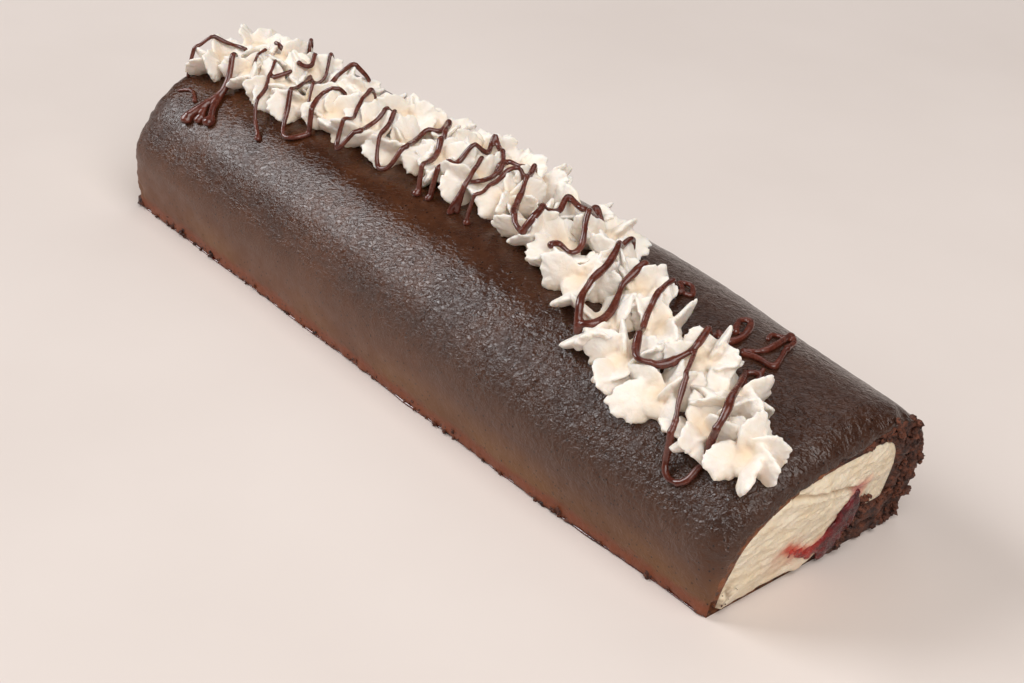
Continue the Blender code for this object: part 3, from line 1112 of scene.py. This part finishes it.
def cream_stain_and_shade(p):
    """Colour that multiplies the cream's own: pink and purple by the cherry, and painted shade along the
    seam.
    """

    def spot(place_at, reach):
        return smooth(1.0 - math.hypot(p.y - place_at[0], p.z - place_at[1]) / reach)

    from_cherry = line_distance(p.y, p.z, [q[:2] for q in CHERRY_SMEAR])
    wander = 1.0 + 0.9 * noise.noise(p * 190.0) + 0.4 * noise.noise(p * 520.0)
    pink = smooth(1.0 - from_cherry / (0.0065 * max(0.3, wander)))
    pink = min(1.0, 0.85 * pink + 0.3 * spot(ROSY_PLACE, 0.013))
    red = smooth(1.0 - from_cherry / (0.0038 * max(0.2, wander)))
    grime = spot(GRIME_PLACE, 0.009)
    grime *= smooth(0.3 + 1.3 * noise.noise(p * 300.0) + 1.2 * noise.noise(p * 900.0))
    # Painted shade: darker along the seam's groove
    seam_shade = smooth(1.0 - line_distance(p.y, p.z, SEAM) / 0.0014)
    colour = Vector((1.0, 1.0, 1.0))
    for stain_and_shade, amount in (
        (PINK, pink),
        (RED, red),
        (PURPLE, 0.7 * spot(PURPLE_PLACE, 0.006)),
        (GRIME, 0.8 * grime),
        (SEAM_SHADE, 0.6 * seam_shade),
    ):
        colour = colour.lerp(Vector(stain_and_shade), amount)
    return colour


def cap_loops(edge, out):
    """Loops from an end's edge of cream inwards, and its middle point."""
    middle = Vector((0.0, 0.0, 0.0))
    for p in edge:
        middle += p / len(edge)
    loops = []
    for k in range(1, CAP_STEPS):
        share = 1.0 - k / CAP_STEPS
        row = [middle.lerp(p, share) for p in edge]
        loops.append([p + out * cream_relief(p, share) for p in row])
    return loops, middle + out * cream_relief(middle, 0.0)


def add_filling():
    """The cream, which fills the hollow and bulges a little from both ends."""
    inside = [hollow_section(x) for x in HOLLOW_PLACES]
    far_loops, far_tip = cap_loops(inside[0], FAR_OUT)
    near_loops, near_tip = cap_loops(inside[-1], CUT_OUT)
    loops = far_loops[::-1] + inside + near_loops
    size = len(inside[0])
    points = [p for loop in loops for p in loop] + [far_tip, near_tip]
    tip = len(loops) * size
    faces = loop_faces(len(loops), size)
    faces += dome_faces(tip, 0, size)
    faces += dome_faces(tip + 1, tip - size, size, way=-1)
    piece = add_piece("roulade_filling", points, faces, [filling_finish()])
    # Stains and the painted shade of the seam, as a tint
    add_tint(piece.data, "stain_and_shade", [tuple(cream_stain_and_shade(p)) for p in points])
    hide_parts("cream_filling")
    return piece


def smear_blob(points, faces, rng, at, out, y, z, size):
    """Append one lump of the cherry's smear, at y and z of an end's plane."""
    y += either_way(rng, SMEAR_WANDER) * size
    z += either_way(rng, SMEAR_WANDER) * size
    thick = mix(SMEAR_THIN, SMEAR_THICK, ramp(y, THIN_UP_TO, THIN_LENGTH))
    thick *= 1.0 - 0.7 * ramp(z, THIN_ABOVE, THIN_LENGTH)
    shape = Matrix.Translation(at(y, z, thick))
    shape = shape @ out.to_track_quat("Z", "Y").to_matrix().to_4x4()
    wide = size * rng.uniform(0.55, 1.05)
    tall = size * rng.uniform(0.55, 1.05)
    shape = shape @ Matrix.Diagonal((wide, tall, rng.uniform(0.8, 1.5) * MM, 1.0))
    add_ball(points, faces, shape, dent=SMEAR_DENT, seed=rng.uniform(0.0, 50.0))


def add_cherry():
    """The cherry: a strand through the roll, with a wet smear over the cream at each end."""
    rng = random.Random(SMEAR_SEED)
    points = []
    faces = []
    for at, out in ((cut_point, CUT_OUT), (far_point, FAR_OUT)):
        for line in (CHERRY_SMEAR, CHERRY_FOOT):
            for a, b in zip(line, line[1:]):
                for step in range(SMEAR_STEPS):
                    y, z, size = (mix(p, q, step / SMEAR_STEPS) for p, q in zip(a, b))
                    smear_blob(points, faces, rng, at, out, y, z, size)
    places = np.linspace(ROLL_FAR + 2.0 * MM, ROLL_CUT, STRAND_STEPS)
    strand = [Vector((x, *STRAND_PLACE)) for x in places]
    add_tube(points, faces, strand, [STRAND_RADIUS] * STRAND_STEPS)

    def relief(p):
        return CHERRY_RELIEF * MM * cloudy(p, 420.0)

    places, polygons = fuse("cherry", points, faces, CHERRY_VOXEL, 3, relief)
    piece = add_piece("roulade_cherry", places, polygons, [cherry_finish()])
    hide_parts("cherry_filling")
    return piece


# ---- chocolate drizzle

# Strokes of chocolate, each with its radius at the start and end and its points, in millimetres:
# those with three values a point hang at the heights given, and the others are laid over the
# stars from above
DRIZZLE = (
    (1.1, 1.1, ((-174, -30), (-173, -24), (-168, -16), (-162, -12), (-157, -12))),
    (1.1, 2.2, ((-155, -18), (-149, -25), (-146, -31), (-147, -38), (-149, -45))),
    (1.2, 2.2, ((-146, -30), (-143, -36), (-137, -42))),
    (1.0, 1.8, ((-147, -37), (-143, -43))),
    (0.9, 1.2, ((-168, -38, 52), (-162, -35, 54), (-155, -38, 52))),
    (1.1, 1.2, ((-134, -12), (-128, -19), (-122, -26), (-117, -33), (-108, -38))),
    (1.0, 1.0, ((-128, -18), (-125, -11))),
    (1.0, 1.1, ((-143, -17), (-145, -10))),
    (1.1, 1.1, ((-152, 0), (-148, 1), (-151, 8), (-145, 13), (-137, 6))),
    (1.4, 1.1, ((-125, -7), (-124, -1), (-132, 8), (-126, 11), (-118, 2), (-118, -3), (-122, -3))),
    (1.1, 1.3, ((-122, -3), (-116, -10), (-111, -18), (-105, -26), (-99, -32), (-94, -31), (-91, -25))),
    (1.3, 1.1, ((-91, -25), (-97, -15), (-94, -11), (-92, -7))),
    (1.1, 1.2, ((-99, -20), (-105, -13), (-107, -6), (-111, 3), (-107, 8), (-103, 13))),
    (1.1, 1.2, ((-88, 5), (-84, -2), (-79, -10), (-72, -18), (-69, -27), (-64, -29), (-61, -22))),
    (1.2, 1.1, ((-61, -22), (-65, -15), (-65, -9), (-67, -4), (-66, 1))),
    (1.1, 1.3, ((-67, 0), (-60, -7), (-54, -14), (-50, -21), (-45, -25), (-39, -23), (-38, -17))),
    (1.3, 1.2, ((-38, -17), (-44, -9), (-49, 0), (-46, 6), (-50, 13), (-44, 8), (-36, -1))),
    (1.3, 1.4, ((-36, -1), (-30, -8), (-26, -15), (-23, -22))),
    (1.3, 1.2, ((-17, -21), (-18, -14), (-19, -5), (-18, 5), (-23, 14), (-15, 11), (-8, 6), (-4, -1))),
    (1.0, 1.3, ((-12, -1), (-5, -11), (-3, -17), (-4, -22))),
    (1.1, 1.2, ((-2, -20), (-4, -11), (0, -4), (-6, 6), (1, 6), (5, 9))),
    (1.3, 1.2, ((6, -22), (8, -17), (5, -8), (5, -1), (11, 1))),
    (1.2, 1.6, ((4, 12), (8, 7), (14, -1), (19, -8), (24, -15), (31, -21), (38, -23))),
    (1.5, 1.4, ((38, -23), (39, -18), (34, -9), (35, -3), (31, 5), (42, 1), (39, 8), (36, 14), (46, 8))),
    (1.4, 1.3, ((46, 8), (46, 3), (50, -4), (56, -11), (56, -16), (50, -16), (50, -20))),
    (1.2, 1.7, ((60, 11), (63, 4), (67, -3), (71, -8), (75, -16), (78, -25), (81, -33), (86, -38))),
    (1.7, 1.4, ((86, -38), (90, -34), (89, -26), (84, -17), (83, -9), (79, 2))),
    (1.3, 1.1, ((99, -17), (95, -8), (94, -3), (89, 8), (83, 13), (87, 15), (92, 10), (88, 7))),
    (1.2, 1.7, ((99, -17), (101, -21), (105, -27), (110, -34), (115, -38), (119, -35), (122, -28))),
    (1.6, 1.2, ((122, -28), (124, -22), (122, -15), (118, -7), (116, -1))),
    (1.5, 1.3, ((116, -1), (121, -2), (122, 4), (119, 11), (115, 16), (113, 12), (118, 5))),
    (1.0, 1.3, ((125, -22, 67), (130, -29, 68), (134, -35, 66), (138, -41, 61), (141, -45, 57))),
    (1.3, 1.4, ((141, -45, 57), (143, -48, 51), (143, -49, 43), (146, -51, 40), (150, -50, 40))),
    (1.4, 1.6, ((150, -50, 40), (153, -48, 42), (153, -44, 46), (154, -42, 54), (156, -42, 61))),
    (1.6, 1.4, ((156, -42, 61), (155, -37, 66), (151, -31, 67), (146, -22, 66), (140, -13, 64))),
    (1.4, 1.1, ((140, -13), (137, -9), (140, -6), (143, -9))),
    (1.4, 1.3, ((128, -1), (131, 4), (131, 10), (129, 17), (126, 25), (131, 21), (134, 14))),
    (1.1, 1.2, ((126, 13), (124, 18), (128, 22))),
    (1.3, 1.2, ((129, -2), (134, 0), (140, 1), (137, 8), (133, 15))),
    (1.1, 1.3, ((142, -9), (139, -3))),
)
# Fat drops where a stroke ends on the skin: x, y and radius in millimetres
DROPS = (
    (-149, -46, 2.8),
    (-137, -43, 2.8),
    (-143, -44, 2.2),
    (-108, -38, 1.7),
    (-23, -23, 2.0),
    (-17, -22, 1.6),
    (-4, -22, 1.4),
    (6, -22, 1.6),
    (126, 25, 1.7),
)
DRIZZLE_SEED = 3
STROKE_STEP = 0.9 * MM
STROKE_WANDER = 0.35 * MM
# The share of its radius by which a stroke's middle line lies off the surface
STROKE_CLEAR = 0.45
# How steeply a stroke may leave a petal, the gentlest that brings its ends down first
STEEPNESS = (2.2, 3.2, 4.5, 9.0)
END_OFF = 0.8 * MM
DRAPE_ROUNDS = 12
KEEP_OFF_ROUNDS = 8
ABOVE_ALL = 0.12
NO_GROUND = 0.03


def curve_through(points, step):
    """Points every step or so along a smooth curve through the given ones."""
    made = []
    for i in range(len(points) - 1):
        p0 = points[max(i - 1, 0)]
        p1 = points[i]
        p2 = points[i + 1]
        p3 = points[min(i + 2, len(points) - 1)]
        count = max(2, round((p2 - p1).length / step))
        for k in range(count):
            t = k / count
            bend = (2.0 * p0 - 5.0 * p1 + 4.0 * p2 - p3) * t * t
            twist = (3.0 * p1 - p0 - 3.0 * p2 + p3) * t * t * t
            made.append(0.5 * (2.0 * p1 + (p2 - p0) * t + bend + twist))
    made.append(points[-1].copy())
    return made


def surface_of(pieces):
    """A ray-casting tree over several meshes."""
    points = []
    faces = []
    for piece in pieces:
        start = len(points)
        points += [v.co.copy() for v in piece.data.vertices]
        faces += [tuple(start + i for i in p.vertices) for p in piece.data.polygons]
    return BVHTree.FromPolygons(points, faces)


def height_at(tree, x, y, radius):
    """The highest surface within a radius of (x, y)."""
    best = None
    for dx, dy in ((0.0, 0.0), (1.0, 0.0), (-1.0, 0.0), (0.0, 1.0), (0.0, -1.0)):
        start = Vector((x + dx * radius, y + dy * radius, ABOVE_ALL))
        hit = tree.ray_cast(start, Vector((0.0, 0.0, -1.0)))[0]
        if hit is not None and (best is None or hit.z > best):
            best = hit.z
    return best


def drape(tree, route, radius):
    """Lay a route over the surface: it rests on high places and slopes gently off them."""
    ground = []
    for p in route:
        z = height_at(tree, p.x, p.y, radius * 0.6)
        if z is None:
            z = ground[-1] if ground else NO_GROUND
        ground.append(z)
    for steep in STEEPNESS:
        held = list(ground)
        order = list(range(1, len(held)))
        falls = [steep * (route[i] - route[i - 1]).length for i in order]
        for i, fall in zip(order, falls):
            held[i] = max(held[i], held[i - 1] - fall)
        for i, fall in zip(reversed(order), reversed(falls)):
            held[i - 1] = max(held[i - 1], held[i] - fall)
        if max(held[0] - ground[0], held[-1] - ground[-1]) < END_OFF:
            break
    for _ in range(DRAPE_ROUNDS):
        for i in range(1, len(held) - 1):
            held[i] = max(ground[i], (held[i - 1] + held[i + 1]) / 2.0)
    return [Vector((p.x, p.y, z + radius * STROKE_CLEAR)) for p, z in zip(route, held)]


def keep_off(tree, route, radius):
    """Even out a route that has heights of its own, and keep it just out of the surface."""
    for _ in range(KEEP_OFF_ROUNDS):
        for i in range(1, len(route) - 1):
            route[i] = (route[i - 1] + 2.0 * route[i] + route[i + 1]) / 4.0
        for p in route:
            at, out, _, _ = tree.find_nearest(p)
            p += out * max(0.0, STROKE_CLEAR * radius - (p - at).dot(out))
    return route


def shape_stroke(points, faces, tree, rng, start, end, stroke):
    """Append one stroke, a little uneven in its width and its way, with round ends."""
    route = curve_through([Vector(corner).to_3d() * MM for corner in stroke], STROKE_STEP)
    phase = rng.uniform(0.0, 100.0)
    radii = []
    for i, p in enumerate(route):
        wobble = wave(i * 0.11, phase, 0.0)
        radius = mix(start, end, i / max(1, len(route) - 1))
        radii.append(radius * MM * (0.92 + 0.36 * wobble))
        p.x += STROKE_WANDER * wave(i * 0.16, phase, 5.0)
        p.y += STROKE_WANDER * wave(i * 0.16, phase, 9.0)
    lay = keep_off if len(stroke[0]) == 3 else drape
    route = lay(tree, route, sum(radii) / len(radii))
    add_tube(points, faces, route, radii, flat=0.9)
    for tip in (0, -1):
        shape = Matrix.Translation(route[tip]) @ Matrix.Scale(radii[tip] * 1.05, 4)
        add_ball(points, faces, shape)


def add_drizzle(tree):
    """The drizzle's strokes and drops, run together into one piece."""
    rng = random.Random(DRIZZLE_SEED)
    points = []
    faces = []
    for start, end, stroke in DRIZZLE:
        shape_stroke(points, faces, tree, rng, start, end, stroke)
    for x, y, size in DROPS:
        radius = size * MM
        z = height_at(tree, x * MM, y * MM, 0.5 * MM)
        shape = Matrix.Translation(Vector((x * MM, y * MM, z + 0.35 * radius)))
        shape = shape @ Matrix.Diagonal((radius, radius, 0.75 * radius, 1.0))
        add_ball(points, faces, shape, dent=0.15, seed=x)
    places, polygons = fuse("drizzle", points, faces, DRIZZLE_VOXEL, 2)
    return add_piece("chocolate_drizzle", places, polygons, [drizzle_finish()])


# ---- crumbs and syrup

CRUMB_SEED = 21
ANY_TURN = (0.0, 6.28)
THICK_SPONGE = 0.009
LOOSE_CRUMBS = 110
LOOSE_ACROSS = (0.02, 0.95)
LOOSE_OUT = (-0.3, 0.6)
LOOSE_SIZES = (0.4, 0.6, 0.8, 1.1, 1.5)
LUMP_OUT = 0.3 * MM
SPECKS = 7
SPECK_Y = (-0.05, -0.04)
SPECK_Z = (0.004, 0.0115)
SPECK_OUT = 1.8 * MM
SPECK_SIZES = (0.15, 0.4)
FOOT_CRUMBS = 260
FOOT_OUT = (-1.6, 0.4)
FOOT_SIZES = (0.35, 0.95)
# Lumps that stick to the cut: y, z and size
CUT_LUMPS = (
    (0.043, 0.021, 0.002),
    (0.044, 0.013, 0.0026),
    (0.0455, 0.012, 0.0016),
    (0.043, 0.006, 0.002),
    (0.039, 0.0022, 0.0018),
    (0.0325, 0.049, 0.0016),
    (0.027, 0.054, 0.0014),
    (0.018, 0.056, 0.0012),
    (0.031, 0.003, 0.0017),
    (0.025, 0.002, 0.0015),
)
# The roll's inner end of sponge, which curls up beside the cherry: y, z and size
SPONGE_TONGUE = (
    (0.01, 0.0085, 0.0048),
    (0.013, 0.0135, 0.0046),
    (0.015, 0.018, 0.004),
    (0.0158, 0.0225, 0.0028),
)
TONGUE_CRUMBS = 34
TONGUE_OUT = (0.6, 2.2)
TONGUE_SIZES = (0.15, 0.38)
# Lumps at the front's far corner: place and size
CORNER_LUMPS = (
    ((ROLL_FAR - 0.5 * MM, -0.053, 0.003), 0.0028),
    ((ROLL_FAR + 1.0 * MM, -0.0545, 0.002), 0.0018),
)
SYRUP_STEPS = 300


def add_crumbs(finish):
    """Broken bits of sponge: round the cut, along the front foot and on the cream."""
    rng = random.Random(CRUMB_SEED)
    points = []
    faces = []

    def drop(at, size):
        """Add one crumb of any turn and proportions."""
        shape = Matrix.Translation(at)
        shape = shape @ Matrix.Rotation(rng.uniform(*ANY_TURN), 4, "X")
        shape = shape @ Matrix.Rotation(rng.uniform(*ANY_TURN), 4, "Z")
        long = size * rng.uniform(0.7, 1.2)
        wide = size * rng.uniform(0.6, 1.0)
        tall = size * rng.uniform(0.6, 1.0)
        shape = shape @ Matrix.Diagonal((long, wide, tall, 1.0))
        seed = rng.uniform(0.0, 90.0)
        add_ball(points, faces, shape, steps=7, around=9, dent=0.75, seed=seed)

    outer = outer_section(ROLL_CUT)
    hollow = hollow_section(ROLL_CUT)
    thick = [(a, b) for a, b in zip(outer, hollow) if (a - b).length > THICK_SPONGE]
    for _ in range(LOOSE_CRUMBS):
        a, b = rng.choice(thick)
        p = a.lerp(b, rng.uniform(*LOOSE_ACROSS))
        size = rng.choice(LOOSE_SIZES) * MM
        drop(p + CUT_OUT * rng.uniform(*LOOSE_OUT) * MM, size)
    for y, z, size in CUT_LUMPS:
        drop(cut_point(y, z, LUMP_OUT), size)
    for y, z, size in SPONGE_TONGUE:
        for _ in range(TONGUE_CRUMBS):
            side = y + rng.gauss(0.0, 0.5) * size
            height = z + rng.gauss(0.0, 0.4) * size
            at = cut_point(side, height, rng.uniform(*TONGUE_OUT) * MM)
            drop(at, rng.uniform(*TONGUE_SIZES) * size)
    for _ in range(SPECKS):
        y = rng.uniform(*SPECK_Y)
        z = mix(*SPECK_Z, rng.random())
        drop(cut_point(y, z, SPECK_OUT), rng.uniform(*SPECK_SIZES) * MM)
    for _ in range(FOOT_CRUMBS):
        x = mix(ROLL_FAR + 2.0 * MM, ROLL_CUT - 2.0 * MM, rng.random())
        heap = 0.6 + 0.9 * smooth(0.5 + 1.4 * wave(x * 45.0, 7.0, 0.0))
        y = BASE_TUCK - roll_size(x)[0] + rng.uniform(*FOOT_OUT) * MM
        z = abs(rng.gauss(0.0, 1.3)) * MM * heap + 0.5 * MM
        drop(Vector((x, y, z)), rng.uniform(*FOOT_SIZES) * heap * MM)
    for at, size in CORNER_LUMPS:
        drop(Vector(at), size)
    lift_off_floor(points)
    return add_piece("sponge_crumbs", points, faces, [finish])


def add_syrup():
    """A thin wet seam along the front foot, thicker in places."""
    points = []
    faces = []
    path = []
    radii = []
    for i in range(SYRUP_STEPS + 1):
        x = mix(ROLL_FAR + 4.0 * MM, ROLL_CUT - 4.0 * MM, i / SYRUP_STEPS)
        wander = 0.5 * wave(x * 90.0, 4.0, 0.0)
        y = BASE_TUCK - roll_size(x)[0] + (wander - 0.3) * MM
        path.append(Vector((x, y, 0.3 * MM)))
        wet = wave(x * 30.0, 0.0, 0.0)
        radii.append(max(0.25, 0.75 + 0.9 * wet) * MM)
    add_tube(points, faces, path, radii, flat=0.6)
    lift_off_floor(points)
    return add_piece("foot_syrup", points, faces, [syrup_finish()])


# ---- camera and studio

CAMERA_PLACE = (0.48, -0.4296, 0.3791)
CAMERA_TURN = (59.54, -4.49, 50.05)
CAMERA_LENS = 66.8
CAMERA_SENSOR = 36.0
FLOOR_REACH = 4.0
FLOOR_COLOURS = ((0.685, 0.605, 0.56), (0.725, 0.645, 0.6))
WORLD_COLOUR = (1.0, 0.96, 0.93, 1.0)
WORLD_STRENGTH = 0.07
# Square lamps: name, place, the place it faces, side, power and colour
LAMPS = (
    ("window", (-2.0, -1.36, 1.75), (0.0, 0.0, 0.03), 1.5, 64.0, (0.96, 0.98, 1.0)),
    ("back", (-0.63, 1.26, 1.6), (0.15, 0.0, 0.05), 1.2, 4.5, (0.97, 0.98, 1.0)),
    ("fill", (1.5, -0.5, 2.0), (0.0, 0.0, 0.03), 2.2, 67.0, (1.0, 0.97, 0.94)),
)


def add_floor():
    mesh = bpy.data.meshes.new("floor")
    corners = [(-1, -1), (1, -1), (1, 1), (-1, 1)]
    mesh.from_pydata([(x * FLOOR_REACH, y * FLOOR_REACH, 0.0) for x, y in corners], [], [range(4)])
    n = Nodes("floor")
    colour = n.blend(n.around(n.noise(5.0, 4.0), 0.15), *FLOOR_COLOURS)
    mesh.materials.append(n.finish(colour, 0.6, n.bump(n.noise(300.0), 0.0001, 0.1)))
    floor = bpy.data.objects.new("floor", mesh)
    bpy.context.scene.collection.objects.link(floor)


def add_lamp(name, place_at, target, size, power, colour):
    light = bpy.data.lights.new(name, "AREA")
    light.shape = "SQUARE"
    light.size = size
    light.energy = power
    light.color = colour
    lamp = bpy.data.objects.new(name, light)
    lamp.location = place_at
    away = Vector(place_at) - Vector(target)
    lamp.rotation_euler = away.to_track_quat("Z", "Y").to_euler()
    bpy.context.scene.collection.objects.link(lamp)


def add_studio():
    world = bpy.data.worlds.new("studio")
    bpy.context.scene.world = world
    world.use_nodes = True
    background = world.node_tree.nodes["Background"]
    background.inputs["Color"].default_value = WORLD_COLOUR
    background.inputs["Strength"].default_value = WORLD_STRENGTH
    for lamp in LAMPS:
        add_lamp(*lamp)


def add_camera():
    data = bpy.data.cameras.new("camera")
    data.lens = CAMERA_LENS
    data.sensor_width = CAMERA_SENSOR
    data.clip_start = 0.01
    camera = bpy.data.objects.new("camera", data)
    camera.location = CAMERA_PLACE
    camera.rotation_euler = [math.radians(a) for a in CAMERA_TURN]
    bpy.context.scene.collection.objects.link(camera)
    bpy.context.scene.camera = camera


# ---- the whole scene

add_camera()
add_studio()
add_floor()
crumb = crumb_finish()
sponge = add_sponge(crumb)
add_filling()
add_cherry()
stars = add_stars()
add_drizzle(surface_of([sponge, *stars]))
add_crumbs(crumb)
add_syrup()

bpy.context.scene.view_settings.view_transform = "Standard"
